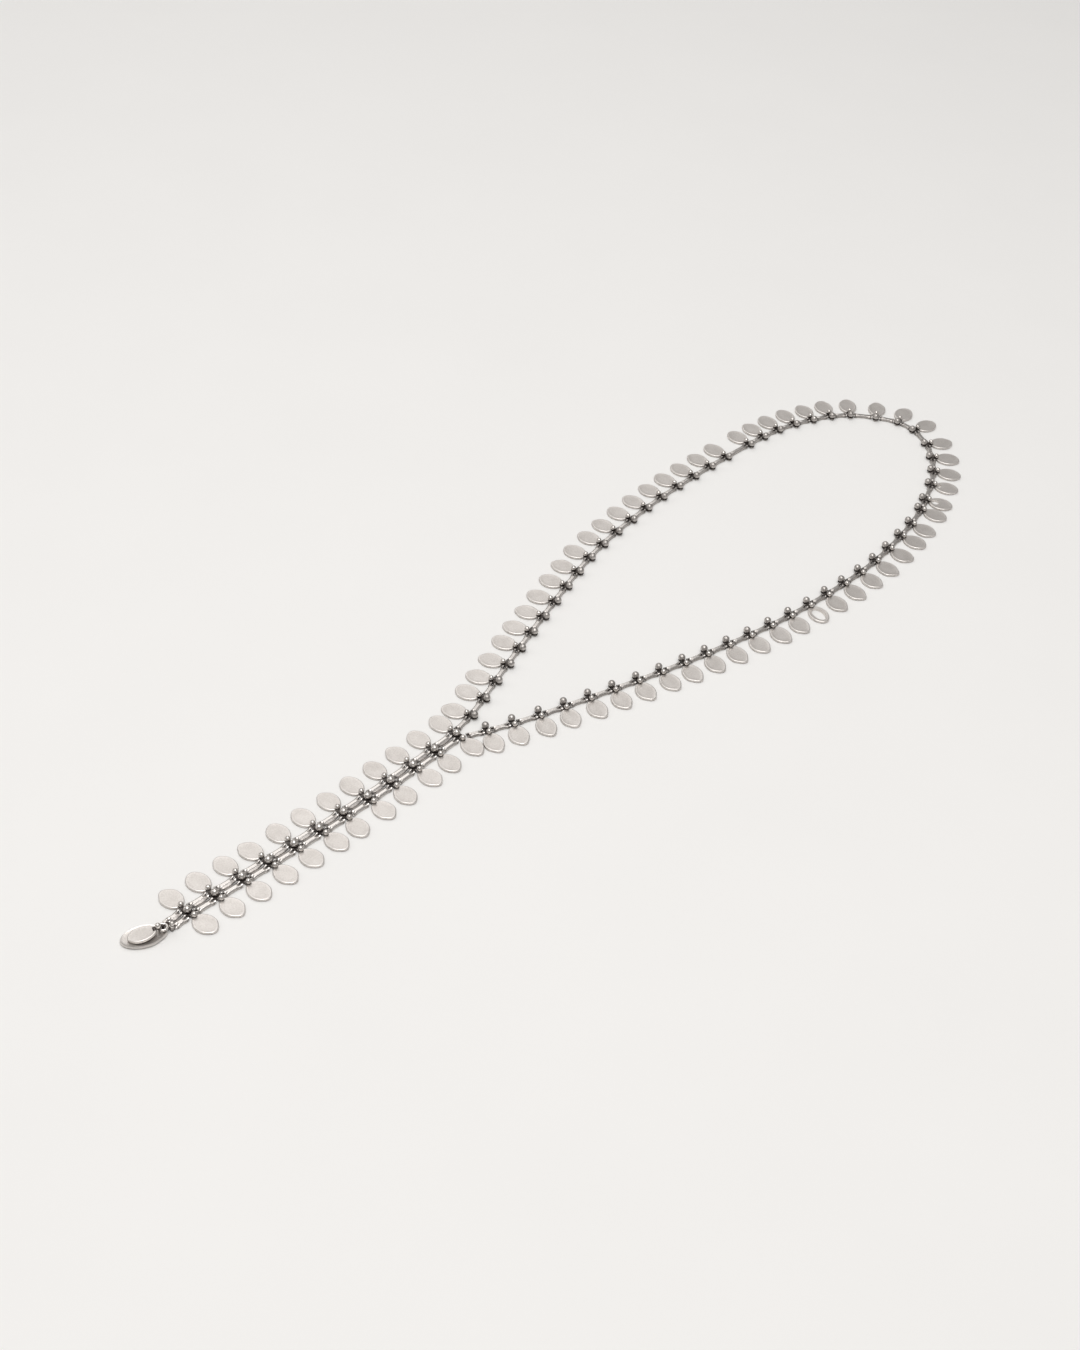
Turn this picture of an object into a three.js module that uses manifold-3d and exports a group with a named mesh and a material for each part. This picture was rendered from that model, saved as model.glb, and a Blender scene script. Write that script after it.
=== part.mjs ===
// A Y necklace of silver leaves and beads, lying flat on a table, in millimetres with +Z up.
//
// Every leaf hangs off a short cross bar between two beads. In the drop two strands of waisted links
// run side by side and the leaves come in pairs; at the junction the strands part and become the two
// sides of the neck loop. Local to a bar, X runs across the strand and out along the leaf, and Y runs
// along the strand.

import * as THREE from 'three';
import { mergeVertices } from 'three/addons/utils/BufferGeometryUtils.js';
import Module from 'manifold-3d';

const wasm = await Module();
wasm.setup();

// --- Driving dimensions ----------------------------------------------------------------------

const clearance = 0.3; // between pieces that touch

// How finely round things are divided.
const leafPoints = 12;
const dishPoints = 16;
const ringFacets = { around: 14, wire: 6 };
const pinFacets = 8;
const plainFacets = { around: 6, down: 3 };
const roundFacets = { around: 6, down: 4 };
const fineFacets = { around: 8, down: 5 };

const leaf = { root: 1.1, length: 7.7, width: 5.85, thickness: 0.75, bevel: 0.2, pinch: 1.12 };
const bar = { thickness: 0.95, halfWidth: 0.7, outerEnd: 1.8, innerEnd: -1.9 };
const smallBead = { radius: 0.78, height: 1.45, offset: 1.15 };
const largeBead = { radius: 1, height: 1.55 };
const strandOffset = 1.3; // from a large bead to the axis of its strand
const askewRoom = 0.1; // extra clearance at a bar that isn't square to its links
const link = { thickness: 0.8, endHalfWidth: 1.05, waistHalfWidth: 0.55, waistShare: 0.3, notch: 0.9 };
const bite = 0.35; // how far a joined link reaches into a bar

const drop = { pairs: 12, firstGap: 8.8, pitch: 8.52 };
const loop = { units: 58, pitch: 8.07 };
const junctionGap = { left: 0.4, right: 1.5 }; // extra room for the junction's own leaves

// The end of the drop: a cross bar with a ring, a dished plate on the ring, and a leaf lying over both.
const eye = { below: 6.4, thickness: 1.8, from: -1.5, to: 1.9, halfWidth: 0.5 };
const ring = { radius: 1.1, wire: 0.35, height: 1.65, across: 0.15, down: 1.75 };
const endBead = { radius: 0.65, height: 2.3, offset: 1.35 };
const plate = { length: 11.8, width: 7, foot: 0.4, belly: 0.5, rim: 1 };
const dish = { rimWidth: 0.4, floor: 0.5, wall: 0.7 };
const platePlace = { x: -0.45, y: -106.9, turn: -114.9 };
const post = { radius: 0.4, bottom: 0.3, top: 2.4 };
const overlay = { length: 7.5, width: 4.75, rootHeight: 1.85, tipHeight: 1.35 };
const overlayPlace = { x: 0.92, y: -103.8, turn: -111 };
const overlayBar = { from: -0.7, to: 1, halfWidth: 0.6, bottom: 0.5, top: 1 };
const overlayBead = { offset: -0.45, height: 1.4 };

// Both routes start at the junction, which is their origin. The drop bows a little to one side.
const dropRoute = [
  [0, 0], [1.2, -26], [1.5, -48], [1.2, -70], [0.4, -93.5], [0.8, -101],
];
const loopRoute = [
  [-1.3, 0], [-2.95, 8], [-11.3, 30.9], [-21.8, 61.4], [-30.3, 88.95], [-34.3, 116.5],
  [-35.4, 140], [-34.9, 166], [-33.8, 181], [-30, 194.5], [-23, 207], [-9.5, 216.1],
  [-0.5, 215.8], [8, 210.7], [16.4, 201.2], [23.4, 187], [28, 172.5], [31.6, 148.5],
  [31.4, 124], [28.9, 100], [22.5, 68.5], [14.2, 37.5], [7.2, 14.6], [1.3, 0],
];
const centre = { x: -1.8, y: 56.32 }; // of the whole outline, which becomes the origin

// The leaf pairs sit a little askew on the strands of the drop, and their leaves on the pairs.
const pairTurns = [
  { first: 1, last: 1, turn: 4, left: -2, right: 4 },
  { first: 2, last: 2, turn: 4, left: 1.5, right: 5 },
  { first: 3, last: 3, turn: 4, left: 0.5, right: 3 },
  { first: 4, last: 4, turn: 4, left: 6, right: 3 },
  { first: 5, last: 6, turn: 4, left: -3.5, right: 2.5 },
  { first: 7, last: 7, turn: -1.5, left: -1, right: -5 },
  { first: 8, last: 8, turn: -1.5, left: 0, right: 4 },
  { first: 9, last: 9, turn: -1.5, left: -1, right: -4 },
  { first: 10, last: 10, turn: -1.5, left: -1.5, right: 6 },
  { first: 11, last: 11, turn: -1.5, left: -1, right: -4.5 },
  { first: 12, last: 12, turn: -2, left: 0, right: 0 },
];

// How far the units of the loop stand off square to their strand.
const unitTurns = [
  { first: 1, last: 1, turn: 4 },
  { first: 2, last: 2, turn: -5 },
  { first: 3, last: 4, turn: 4 },
  { first: 5, last: 5, turn: -3 },
  { first: 6, last: 8, turn: 2.5 },
  { first: 9, last: 12, turn: -2.5 },
  { first: 13, last: 16, turn: 1 },
  { first: 17, last: 20, turn: 4 },
  { first: 21, last: 22, turn: -1 },
  { first: 23, last: 26, turn: 2.5 },
  { first: 29, last: 29, turn: -4 },
  { first: 30, last: 30, turn: 3 },
  { first: 31, last: 31, turn: -1 },
  { first: 32, last: 33, turn: -4.5 },
  { first: 36, last: 37, turn: -6 },
  { first: 39, last: 39, turn: -4 },
  { first: 40, last: 42, turn: -9.5 },
  { first: 43, last: 45, turn: -11.5 },
  { first: 46, last: 47, turn: -4.5 },
  { first: 48, last: 50, turn: -7.5 },
  { first: 51, last: 51, turn: -3 },
  { first: 52, last: 54, turn: -6.5 },
  { first: 55, last: 55, turn: -12 },
  { first: 56, last: 57, turn: -9 },
  { first: 58, last: 58, turn: -2 },
];

// The gaps of the loop that are pulled out or pushed together, each before its unit. The first row
// that fits counts.
const unevenGaps = [
  { first: 1, last: 1, gap: 8.5 },
  { first: 21, last: 21, gap: 11.1 },
  { first: 22, last: 27, gap: 6.97 },
  { first: 28, last: 28, gap: 8.8 },
  { first: 30, last: 30, gap: 6.9 },
  { first: 31, last: 31, gap: 8.6 },
  { first: 35, last: 35, gap: 8.9 },
  { first: 36, last: 36, gap: 5.9 },
  { first: 37, last: 37, gap: 8.75 },
  { first: 29, last: 38, gap: 7.7 },
  { first: 57, last: 57, gap: 8.4 },
  { first: 58, last: 58, gap: 7.9 },
];

// Three leaves of the loop are pierced: the middle of each hole along the leaf, and its size.
const piercings = [
  { unit: 34, middle: 2.7, length: 0.9, width: 2 },
  { unit: 35, middle: 3.2, length: 2.4, width: 2.4 },
  { unit: 44, middle: 5, length: 5.6, width: 3.5 },
];

// The loop is joined along its thread; the parts are short where it bends sharply.
const loopParts = [
  { first: 1, last: 4 }, { first: 5, last: 8 }, { first: 9, last: 12 }, { first: 13, last: 16 },
  { first: 17, last: 20 }, { first: 21, last: 23 }, { first: 24, last: 25 }, { first: 26, last: 27 },
  { first: 28, last: 29 }, { first: 30, last: 31 }, { first: 32, last: 33 }, { first: 34, last: 35 },
  { first: 36, last: 38 }, { first: 39, last: 42 }, { first: 43, last: 46 }, { first: 47, last: 50 },
  { first: 51, last: 54 }, { first: 55, last: 58 },
];

const degrees = THREE.MathUtils.radToDeg;
const radians = THREE.MathUtils.degToRad;
const quarterTurn = Math.PI / 2;

// --- Routes ----------------------------------------------------------------------------------

function catmullRom(t, a, b, c, d) {
  const slope = c - a;
  const bend = 2 * a - 5 * b + 4 * c - d;
  const twist = 3 * b - a - 3 * c + d;
  return 0.5 * (2 * b + slope * t + bend * t ** 2 + twist * t ** 3);
}

// A smooth curve through the points, with the length walked at each step of it.
function makeRoute(points) {
  const knots = points.map(([x, y]) => new THREE.Vector2(x, y));
  const before = knots[0].clone().multiplyScalar(2).sub(knots[1]);
  const after = knots.at(-1).clone().multiplyScalar(2).sub(knots.at(-2));
  const controls = [before, ...knots, after];
  const stepsPerSpan = 24;
  const path = [];
  for (let i = 1; i < controls.length - 2; i += 1) {
    const [a, b, c, d] = controls.slice(i - 1, i + 3);
    for (let step = 0; step < stepsPerSpan; step += 1) {
      const t = step / stepsPerSpan;
      const x = catmullRom(t, a.x, b.x, c.x, d.x);
      const y = catmullRom(t, a.y, b.y, c.y, d.y);
      path.push(new THREE.Vector2(x, y));
    }
  }
  path.push(knots.at(-1));
  const lengths = [0];
  for (let i = 1; i < path.length; i += 1) lengths.push(lengths[i - 1] + path[i].distanceTo(path[i - 1]));
  return { path, lengths };
}

function pointAt({ path, lengths }, distance) {
  const next = Math.max(1, lengths.findIndex((length) => length >= distance));
  const [low, high] = [lengths[next - 1], lengths[next]];
  return path[next - 1].clone().lerp(path[next], (distance - low) / (high - low));
}

// The point and the heading at a distance along a route.
function walk(route, distance) {
  const half = 0.5;
  const behind = pointAt(route, Math.max(0, distance - half));
  const ahead = pointAt(route, Math.min(route.lengths.at(-1), distance + half));
  const { x, y } = pointAt(route, distance);
  return { x, y, heading: Math.atan2(ahead.y - behind.y, ahead.x - behind.x) };
}

// The row of a table that holds a number between its first and last.
function rowFor(table, number) {
  return table.find(({ first, last }) => number >= first && number <= last);
}

function loopGap(unit) {
  return rowFor(unevenGaps, unit)?.gap ?? loop.pitch;
}

function turnOf(table, number) {
  return radians(rowFor(table, number)?.turn ?? 0);
}

function placeLoopUnits() {
  const route = makeRoute(loopRoute);
  const places = [];
  let distance = 0;
  for (let unit = 1; unit <= loop.units; unit += 1) {
    distance += loopGap(unit);
    const { x, y, heading } = walk(route, distance);
    places.push({ x, y, heading: heading + turnOf(unitTurns, unit) });
  }
  return places;
}

// --- Solids and geometries -------------------------------------------------------------------

function toSolid(geometry) {
  const bare = geometry.clone();
  bare.deleteAttribute('normal');
  bare.deleteAttribute('uv');
  const merged = mergeVertices(bare, 1e-5);
  return new wasm.Manifold(new wasm.Mesh({
    numProp: 3,
    vertProperties: new Float32Array(merged.attributes.position.array),
    triVerts: new Uint32Array(merged.index.array),
  }));
}

function toGeometry(solid) {
  const mesh = solid.getMesh();
  const geometry = new THREE.BufferGeometry();
  geometry.setAttribute('position', new THREE.BufferAttribute(mesh.vertProperties, 3));
  geometry.setIndex(new THREE.BufferAttribute(mesh.triVerts, 1));
  geometry.computeVertexNormals();
  return geometry;
}

function union(solids) {
  return solids.reduce((joined, solid) => joined.add(solid));
}

// A closed body through rings of points, each ring being { points: [[x, y], ...], z }, from the
// foot upwards.
function stackRings(rings) {
  const positions = rings.flatMap(({ points, z }) => points.flatMap(([x, y]) => [x, y, z]));
  const indices = [];
  const count = rings[0].points.length;
  for (let level = 0; level < rings.length - 1; level += 1) {
    for (let i = 0; i < count; i += 1) {
      const a = level * count + i;
      const b = level * count + ((i + 1) % count);
      indices.push(a, b, b + count, a, b + count, a + count);
    }
  }
  const top = (rings.length - 1) * count;
  for (let i = 1; i < count - 1; i += 1) {
    indices.push(0, i + 1, i);
    indices.push(top, top + i, top + i + 1);
  }
  const geometry = new THREE.BufferGeometry();
  geometry.setAttribute('position', new THREE.Float32BufferAttribute(positions, 3));
  geometry.setIndex(indices);
  return toSolid(geometry);
}

function block(fromX, toX, halfY, fromZ, toZ) {
  const geometry = new THREE.BoxGeometry(toX - fromX, 2 * halfY, toZ - fromZ);
  return toSolid(geometry.translate((fromX + toX) / 2, 0, (fromZ + toZ) / 2));
}

function bead(radius, facets) {
  return toSolid(new THREE.SphereGeometry(radius, facets.around, facets.down).rotateX(quarterTurn));
}

// --- Leaves, bars and links ------------------------------------------------------------------

// An oval from the root (x = 0) to the tip (x = length), pinched a little at both ends and pulled in
// by the inset.
function leafOutline(length, width, inset, count) {
  const halfLength = length / 2 - inset;
  const halfWidth = width / 2 - inset;
  const points = [];
  for (let i = 0; i < count; i += 1) {
    const angle = (2 * Math.PI * i) / count;
    const across = Math.sin(angle);
    points.push([
      length / 2 + halfLength * Math.cos(angle),
      halfWidth * Math.sign(across) * Math.abs(across) ** leaf.pinch,
    ]);
  }
  return points;
}

// A leaf plate along +X from its root, lying on z = 0, its rim sloping in to a flat face.
function leafPlate(length, width) {
  const outline = (inset) => leafOutline(length, width, inset, leafPoints);
  return stackRings([
    { points: outline(0), z: 0 },
    { points: outline(leaf.bevel), z: leaf.thickness },
  ]);
}

function piercedLeafPlate({ middle, length, width }) {
  const slot = leafOutline(length, width, 0, leafPoints);
  const cutter = stackRings([
    { points: slot, z: -leaf.thickness },
    { points: slot, z: 2 * leaf.thickness },
  ]);
  const cutterX = middle - leaf.root - length / 2;
  return leafPlate(leaf.length, leaf.width).subtract(cutter.translate([cutterX, 0, 0]));
}

function leafAndSmallBead(plateSolid) {
  return union([
    plateSolid.translate([leaf.root, 0, 0]),
    bead(smallBead.radius, plainFacets).translate([smallBead.offset, 0, smallBead.height]),
  ]);
}

function loopUnitSolid(unit) {
  const piercing = piercings.find((row) => row.unit === unit);
  return union([
    leafAndSmallBead(piercing ? piercedLeafPlate(piercing) : leafPlate(leaf.length, leaf.width)),
    block(bar.innerEnd, bar.outerEnd, bar.halfWidth, 0, bar.thickness),
    bead(largeBead.radius, roundFacets).translate([-strandOffset, 0, largeBead.height]),
  ]);
}

function leafPairSolid(pair) {
  const { left, right } = rowFor(pairTurns, pair);
  const half = leafAndSmallBead(leafPlate(leaf.length, leaf.width));
  const reach = strandOffset + bar.outerEnd;
  return union([
    half.rotate([0, 0, right]).translate([strandOffset, 0, 0]),
    half.rotate([0, 0, 180 + left]).translate([-strandOffset, 0, 0]),
    block(-reach, reach, bar.halfWidth, 0, bar.thickness),
    bead(largeBead.radius, fineFacets).translate([0, 0, largeBead.height]),
  ]);
}

// A link along +X on the table, centred on the origin: wide ends, notched into two prongs where
// they show, and a narrow waist.
function linkGeometry(length, notch) {
  const end = length / 2;
  const waist = end * link.waistShare;
  const outline = [];
  for (const sign of [1, -1]) {
    outline.push([sign * end, -sign * link.endHalfWidth]);
    if (notch > 0) outline.push([sign * (end - notch), 0]);
    outline.push([sign * end, sign * link.endHalfWidth]);
    outline.push([sign * waist, sign * link.waistHalfWidth]);
    outline.push([-sign * waist, sign * link.waistHalfWidth]);
  }
  const shape = new THREE.Shape(outline.map(([x, y]) => new THREE.Vector2(x, y)));
  return new THREE.ExtrudeGeometry(shape, { depth: link.thickness, bevelEnabled: false });
}

// --- The neck loop ---------------------------------------------------------------------------

// A link from one place to the next, its ends set back from the middles of their bars.
function strandLink(from, to, setBackFrom, setBackTo) {
  const heading = Math.atan2(to.y - from.y, to.x - from.x);
  const span = Math.hypot(to.x - from.x, to.y - from.y);
  const length = span - setBackFrom - setBackTo;
  return toSolid(linkGeometry(length, 0))
    .translate([setBackFrom + length / 2, 0, 0])
    .rotate([0, 0, degrees(heading)])
    .translate([from.x, from.y, 0]);
}

// How far a link that meets a bar at an angle stays back from it.
function clearOfBar(place, other) {
  const heading = Math.atan2(other.y - place.y, other.x - place.x);
  const splay = link.endHalfWidth * Math.abs(Math.sin(heading - place.heading));
  return bar.halfWidth + clearance + splay + (place.extraGap ?? 0);
}

function loopPartSolid({ first, last }, places, start, end) {
  const bitten = bar.halfWidth - bite;
  const solids = [];
  for (let unit = first; unit <= last; unit += 1) {
    const place = places[unit - 1];
    const previous = places[unit - 2] ?? start;
    const setBack = unit === first ? clearOfBar(previous, place) : bitten;
    solids.push(strandLink(previous, place, setBack, bitten));
    const turn = degrees(place.heading + quarterTurn);
    solids.push(loopUnitSolid(unit).rotate([0, 0, turn]).translate([place.x, place.y, 0]));
  }
  if (last === loop.units) {
    const place = places.at(-1);
    solids.push(strandLink(place, end, bitten, clearOfBar(end, place)));
  }
  return union(solids);
}

// --- The end of the drop ---------------------------------------------------------------------

// The cross bar lies along X with its ring below it (-Y).
function terminalEyeSolid() {
  const torus = new THREE.TorusGeometry(ring.radius, ring.wire, ringFacets.wire, ringFacets.around);
  return union([
    block(eye.from, eye.to, eye.halfWidth, 0, eye.thickness),
    toSolid(torus).translate([ring.across, -ring.down, ring.height]),
    bead(endBead.radius, fineFacets).translate([endBead.offset, 0, endBead.height]),
  ]);
}

// A leaf-shaped dish with its root under the ring, and the post that stands up through the ring.
function terminalPlateSolid(postX, postY) {
  const outline = (inset) => leafOutline(plate.length, plate.width, inset, dishPoints);
  const body = stackRings([
    { points: outline(plate.foot), z: 0 },
    { points: outline(0), z: plate.belly },
    { points: outline(dish.rimWidth), z: plate.rim },
    { points: outline(dish.rimWidth + dish.wall), z: dish.floor },
  ]);
  const pin = new THREE.CylinderGeometry(post.radius, post.radius, post.top - post.bottom, pinFacets);
  return union([
    body
      .translate([-plate.length / 2, 0, 0])
      .rotate([0, 0, platePlace.turn])
      .translate([platePlace.x, platePlace.y, 0]),
    toSolid(pin.rotateX(quarterTurn)).translate([postX, postY, (post.bottom + post.top) / 2]),
  ]);
}

// The leaf whose root lies on the ring and whose tip lies on the plate.
function terminalLeafSolid() {
  const tilt = Math.asin((overlay.rootHeight - overlay.tipHeight) / overlay.length);
  return union([
    leafPlate(overlay.length, overlay.width),
    block(overlayBar.from, overlayBar.to, overlayBar.halfWidth, overlayBar.bottom, overlayBar.top),
    bead(smallBead.radius, fineFacets).translate([overlayBead.offset, 0, overlayBead.height]),
  ])
    .rotate([0, degrees(tilt), 0])
    .rotate([0, 0, overlayPlace.turn])
    .translate([overlayPlace.x, overlayPlace.y, overlay.rootHeight]);
}

// --- Assembly --------------------------------------------------------------------------------

const satinSilver = new THREE.MeshStandardMaterial({ color: 0xd6cfc8, roughness: 0.4, metalness: 1 });
const brightSilver = new THREE.MeshStandardMaterial({ color: 0xe2ded8, roughness: 0.2, metalness: 1 });

function addMesh(parent, name, geometry, material) {
  const mesh = new THREE.Mesh(geometry, material);
  mesh.name = name;
  parent.add(mesh);
  return mesh;
}

function twoDigits(number) {
  return String(number).padStart(2, '0');
}

// The axis of the strand at one side of a leaf pair: -1 is the left strand and 1 the right one.
function strandPoint(place, side) {
  const across = place.heading + quarterTurn;
  return {
    x: place.x + side * strandOffset * Math.cos(across),
    y: place.y + side * strandOffset * Math.sin(across),
  };
}

function addDropLink(parent, name, from, to) {
  const span = Math.hypot(to.x - from.x, to.y - from.y);
  const length = span - 2 * (bar.halfWidth + clearance + askewRoom);
  const mesh = addMesh(parent, name, linkGeometry(length, link.notch), brightSilver);
  mesh.position.set((from.x + to.x) / 2, (from.y + to.y) / 2, 0);
  mesh.rotation.z = Math.atan2(to.y - from.y, to.x - from.x);
}

// The places of the leaf pairs from the junction (12) down to 1, and last that of the cross bar.
function placeDrop() {
  const route = makeRoute(dropRoute);
  const places = [];
  let distance = 0;
  for (let pair = drop.pairs; pair >= 0; pair -= 1) {
    const { x, y, heading } = walk(route, distance);
    places.push({ pair, x, y, heading: heading + turnOf(pairTurns, pair) });
    if (pair === drop.pairs) distance += drop.firstGap;
    else distance += pair === 1 ? eye.below : drop.pitch;
  }
  return places;
}

function addDrop(parent, places) {
  for (let i = 0; i < drop.pairs; i += 1) {
    const [place, below] = places.slice(i, i + 2);
    const number = twoDigits(place.pair);
    const geometry = toGeometry(leafPairSolid(place.pair));
    const mesh = addMesh(parent, `tail_pair_${number}`, geometry, satinSilver);
    mesh.position.set(place.x, place.y, 0);
    mesh.rotation.z = place.heading + quarterTurn;
    addDropLink(parent, `tail_link_left_${number}`, strandPoint(place, -1), strandPoint(below, -1));
    addDropLink(parent, `tail_link_right_${number}`, strandPoint(place, 1), strandPoint(below, 1));
  }
}

function addTerminal(parent, place) {
  const eyeMesh = addMesh(parent, 'terminal_eye', toGeometry(terminalEyeSolid()), brightSilver);
  eyeMesh.position.set(place.x, place.y, 0);
  eyeMesh.rotation.z = place.heading + quarterTurn;
  const ringMiddle = new THREE.Vector3(ring.across, -ring.down, 0).applyEuler(eyeMesh.rotation);
  ringMiddle.add(eyeMesh.position);
  const plateSolid = terminalPlateSolid(ringMiddle.x, ringMiddle.y);
  addMesh(parent, 'terminal_plate', toGeometry(plateSolid), satinSilver);
  addMesh(parent, 'terminal_leaf', toGeometry(terminalLeafSolid()), satinSilver);
}

function addLoop(parent, junction) {
  const places = placeLoopUnits();
  const start = { ...strandPoint(junction, -1), heading: quarterTurn, extraGap: junctionGap.left };
  const end = { ...strandPoint(junction, 1), heading: quarterTurn, extraGap: junctionGap.right };
  loopParts.forEach((row, index) => {
    const geometry = toGeometry(loopPartSolid(row, places, start, end));
    addMesh(parent, `loop_part_${twoDigits(index + 1)}`, geometry, satinSilver);
  });
}

const necklace = new THREE.Group();
necklace.position.set(-centre.x, -centre.y, 0);
const dropPlaces = placeDrop();
addDrop(necklace, dropPlaces);
addTerminal(necklace, dropPlaces.at(-1));
addLoop(necklace, dropPlaces[0]);

export default necklace;
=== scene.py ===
import math

import bmesh
import bpy
from mathutils import Matrix, Vector


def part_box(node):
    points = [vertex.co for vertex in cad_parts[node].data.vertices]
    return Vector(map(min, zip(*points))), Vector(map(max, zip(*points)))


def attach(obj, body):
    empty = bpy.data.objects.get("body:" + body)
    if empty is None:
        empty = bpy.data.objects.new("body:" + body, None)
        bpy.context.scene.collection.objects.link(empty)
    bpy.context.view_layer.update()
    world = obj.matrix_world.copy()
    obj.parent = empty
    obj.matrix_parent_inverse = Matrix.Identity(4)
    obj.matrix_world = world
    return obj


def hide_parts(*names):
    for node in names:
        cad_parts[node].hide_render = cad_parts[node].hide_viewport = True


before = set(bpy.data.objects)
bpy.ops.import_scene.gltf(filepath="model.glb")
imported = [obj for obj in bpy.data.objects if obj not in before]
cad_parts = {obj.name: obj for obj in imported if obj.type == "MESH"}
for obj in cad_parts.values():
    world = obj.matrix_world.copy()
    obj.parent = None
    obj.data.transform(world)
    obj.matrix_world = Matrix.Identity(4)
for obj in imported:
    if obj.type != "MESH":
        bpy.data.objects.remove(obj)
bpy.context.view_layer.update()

bl_info = {
    "name": "Y necklace",
    "version": (1, 0, 0),
    "blender": (4, 5, 0),
    "location": "View3D > Sidebar > Necklace",
    "description": "Models a silver Y necklace of leaves, beads and forked links, piece by piece",
    "category": "Add Mesh",
}

MM = 0.001
HAIR = 0.001 * MM  # points closer than this are one point
FACING = 0.9  # a face looks along an axis where its normal has more than this along it
SMOOTH_BELOW = math.radians(38)  # the faces at an edge flatter than this are shaded as one
ROUND_ABOVE = 0.6  # radians at an edge, past which it is rounded

# The strands' way points in mm, across and along, from the junction where the drop meets the loop.
DROP_ROUTE = (
    (0, 0), (1.2, -26), (1.5, -48), (1.2, -70), (0.4, -93.5), (0.8, -101),
)
LOOP_ROUTE = (
    (-1.3, 0), (-2.95, 8), (-11.3, 30.9), (-21.8, 61.4), (-30.3, 88.95), (-34.3, 116.5),
    (-35.4, 140), (-34.9, 166), (-33.8, 181), (-30, 194.5), (-23, 207), (-9.5, 216.1),
    (-0.5, 215.8), (8, 210.7), (16.4, 201.2), (23.4, 187), (28, 172.5), (31.6, 148.5),
    (31.4, 124), (28.9, 100), (22.5, 68.5), (14.2, 37.5), (7.2, 14.6), (1.3, 0),
)
STEPS_PER_SPAN = 24
HEADING_REACH = 0.5  # mm to each side, over which the heading of a route is taken
JUNCTION = Vector((1.8, -56.32))  # mm, in the frame of the whole necklace

# Along the drop and the loop, in mm. Pair 12 is at the junction, and unit 1 follows it.
PAIRS = 12
FIRST_PAIR_GAP = 8.8
PAIR_PITCH = 8.52
RING_BELOW = 6.4  # from pair 1 to the ring's bar
UNITS = 58
UNIT_PITCH = 8.07
STRAND_OFFSET = 1.3  # from the middle of the drop to each of its strands
WAIST_SHARE = 0.3  # of the link's half length, which is all that stretches

# first and last pair: turn of the pair, and of its left and right leaf on it, in degrees
PAIR_TURNS = (
    (1, 1, (4, -2, 4)), (2, 2, (4, 1.5, 5)), (3, 3, (4, 0.5, 3)), (4, 4, (4, 6, 3)),
    (5, 6, (4, -3.5, 2.5)), (7, 7, (-1.5, -1, -5)), (8, 8, (-1.5, 0, 4)), (9, 9, (-1.5, -1, -4)),
    (10, 10, (-1.5, -1.5, 6)), (11, 11, (-1.5, -1, -4.5)), (12, 12, (-2, 0, 0)),
)

# first and last unit of the loop, and how far those stand off square to their strand, in degrees
UNIT_TURNS = (
    (1, 1, 4), (2, 2, -5), (3, 4, 4), (5, 5, -3), (6, 8, 2.5), (9, 12, -2.5), (13, 16, 1),
    (17, 20, 4), (21, 22, -1), (23, 26, 2.5), (29, 29, -4), (30, 30, 3), (31, 31, -1),
    (32, 33, -4.5), (36, 37, -6), (39, 39, -4), (40, 42, -9.5), (43, 45, -11.5), (46, 47, -4.5),
    (48, 50, -7.5), (51, 51, -3), (52, 54, -6.5), (55, 55, -12), (56, 57, -9), (58, 58, -2),
)

# first, last, gap in mm before each of those units; the first row that fits counts
UNEVEN_GAPS = (
    (1, 1, 8.5), (21, 21, 11.1), (22, 27, 6.97), (28, 28, 8.8), (30, 30, 6.9), (31, 31, 8.6),
    (35, 35, 8.9), (36, 36, 5.9), (37, 37, 8.75), (29, 38, 7.7), (57, 57, 8.4), (58, 58, 7.9),
)

# Pierced leaves. unit: (middle of the hole from the strand's axis, its length, its width) in mm
PIERCINGS = {34: (2.7, 0.9, 2.0), 35: (3.2, 2.4, 2.4), 44: (5.0, 5.6, 3.5)}

# Shapes of leaf, as shares of the leaf's length and width, how blunt its tip is (1 is rounded)
# and how far that leans to one side in mm
LEAF_SHAPES = {
    "round": ((1.0, 1.0, 0.94, 0.0), (0.985, 1.0, 0.88, 0.22), (1.0, 1.02, 0.97, -0.2)),
    "pointed": ((1.0, 1.0, 0.84, -0.15), (0.99, 1.01, 0.88, -0.05)),
    "leaning": ((1.02, 1.0, 0.88, 0.5), (1.0, 1.01, 0.9, 0.4)),
}
LAST_ROUND_UNIT = 38  # the units after it have leaning leaves

# Bars under the beads, in mm: their two ends, the two ends of their plate and half its width
PAIR_SETTING = (-3.1, 3.1, -1.45, 1.45, 1.12)
NECK_SETTING = (-1.9, 1.8, -0.5, 1.6, 0.9)
SETTING_BEVEL = 0.09
PLATE_INSET = 0.16  # how wide the plate's border is, and how deep the plate lies in it

# Kinds of link: finish, half width at the outer and the inner waist as a share of that at the
# ends, and how far the inner side is sunk in mm
LINK_STYLES = {
    "drop link": ("rubbed rail", 0.8, 1.17, 0.25),
    "last link": ("rubbed rail", 0.85, 1.15, 0.2),
    "neck link": ("shaded rail", 0.7, 0.7, 0.0),
}
RING_BAR_SETBACK = 0.5  # mm from the ring's bar to the last links
JUNCTION_CLEARANCE = {0: 0.3, UNITS + 1: 0.85}  # more setback in mm where the loop meets pair 12

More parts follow.
